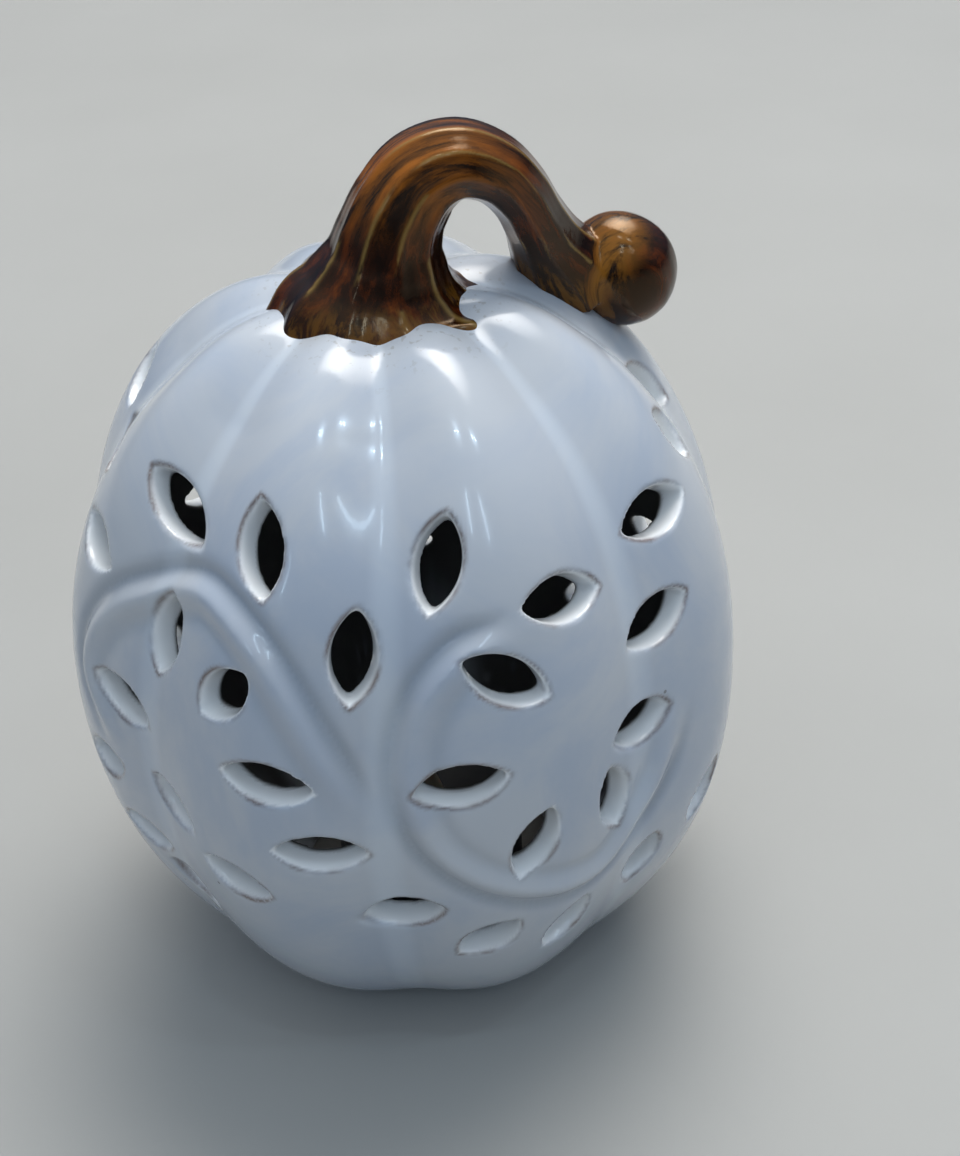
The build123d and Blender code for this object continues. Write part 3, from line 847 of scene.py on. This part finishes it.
def build_floor():
    """Plain pale floor under the figure."""
    size, count = 9000.0, 30
    steps = np.linspace(-size / 2, size / 2, count)
    points = [(x, y, 0.0) for y in steps for x in steps]
    faces = []
    for row in range(count - 1):
        for column in range(count - 1):
            corner = row * count + column
            faces.append((corner, corner + 1, corner + count + 1, corner + count))
    floor = mesh_object("floor", points, faces)
    nodes = Nodes("floor_paint")
    nodes.colour(nodes.mix(nodes.noise(9.0, 4.0), (0.33, 0.325, 0.305), (0.38, 0.375, 0.355)))
    nodes.rough(0.6)
    floor.data.materials.append(nodes.material)


def add_light(name, place, aim, size, power, colour, spread=180.0):
    """Rectangular studio light facing a point; sizes in metres, power in watts."""
    light = bpy.data.lights.new(name, "AREA")
    light.shape = "RECTANGLE"
    light.size, light.size_y = size
    light.energy = power
    light.color = colour
    light.spread = math.radians(spread)
    lamp = bpy.data.objects.new(name, light)
    lamp.location = place
    way = Vector(aim) - Vector(place)
    lamp.rotation_euler = way.to_track_quat("-Z", "Y").to_euler()
    bpy.context.collection.objects.link(lamp)


# small lamps and window strips that the glaze mirrors: place, width and height, power
SPARKS = (
    ("ceiling_lamp_1", (0.38, -0.31, 1.00), (0.02, 0.03), 0.20),
    ("ceiling_lamp_2", (0.43, -0.31, 1.00), (0.02, 0.03), 0.20),
    ("ceiling_lamp_3", (0.06, -0.37, 1.07), (0.02, 0.03), 0.20),
    ("ceiling_lamp_4", (0.11, -0.37, 1.07), (0.02, 0.03), 0.20),
    ("window_strip_1", (0.33, -0.72, 0.76), (0.028, 0.24), 0.30),
    ("window_strip_2", (0.10, -0.73, 0.80), (0.022, 0.22), 0.26),
    ("window_strip_3", (-0.44, -0.84, 0.55), (0.022, 0.20), 0.20),
)

HORIZON_TONE = (0.045, 0.07, 0.11)
MIDDLE_TONE = (0.26, 0.335, 0.445)
OVERHEAD_TONE = (0.78, 0.83, 0.87)
MIDDLE_RISE = 0.45          # where between level and overhead the middle tone lies
KEY_PLACE = (0.25, 0.95, 1.45)
KEY_AIM = (0.0, 0.36, 0.0)


def surround():
    """Even studio surround: pale overhead, dim and cool towards the floor line."""
    world = bpy.data.worlds.new("surround")
    world.use_nodes = True
    tree = world.node_tree
    background = tree.nodes["Background"]
    place = tree.nodes.new("ShaderNodeTexCoord")
    split = tree.nodes.new("ShaderNodeSeparateXYZ")
    tree.links.new(place.outputs["Generated"], split.inputs["Vector"])
    ramp = tree.nodes.new("ShaderNodeValToRGB")
    tree.links.new(split.outputs["Z"], ramp.inputs["Fac"])
    ramp.color_ramp.elements[0].color = (*HORIZON_TONE, 1.0)
    ramp.color_ramp.elements[1].color = (*OVERHEAD_TONE, 1.0)
    ramp.color_ramp.elements.new(MIDDLE_RISE).color = (*MIDDLE_TONE, 1.0)
    tree.links.new(ramp.outputs["Color"], background.inputs["Color"])
    bpy.context.scene.world = world


def build_studio():
    """Soft light from above and behind, a cool surround and a few small mirrored lights."""
    add_light("key", KEY_PLACE, KEY_AIM, (2.1, 1.4), 9.0, (1.0, 0.975, 0.94), 54.0)
    for name, place, size, power in SPARKS:
        add_light(name, place, (0.0, 0.0, 0.11), size, power, (0.62, 0.82, 1.0))
    surround()
    bpy.context.scene.view_settings.view_transform = "Standard"


def build_camera():
    """Camera looking down at the figure, as it was first seen."""
    data = bpy.data.cameras.new("camera")
    data.lens = CAMERA_LENS
    data.sensor_width = 36.0
    data.clip_start = 0.01
    camera = bpy.data.objects.new("camera", data)
    tilt = Matrix.Rotation(math.radians(90.0 - CAMERA_DIP), 4, "X")
    roll = Matrix.Rotation(math.radians(-CAMERA_ROLL), 4, "Z")
    place = Matrix.Translation(Vector(CAMERA_PLACE) * MM)
    camera.matrix_world = place @ tilt @ roll
    bpy.context.collection.objects.link(camera)
    bpy.context.scene.camera = camera


build_floor()
build_studio()
build_camera()
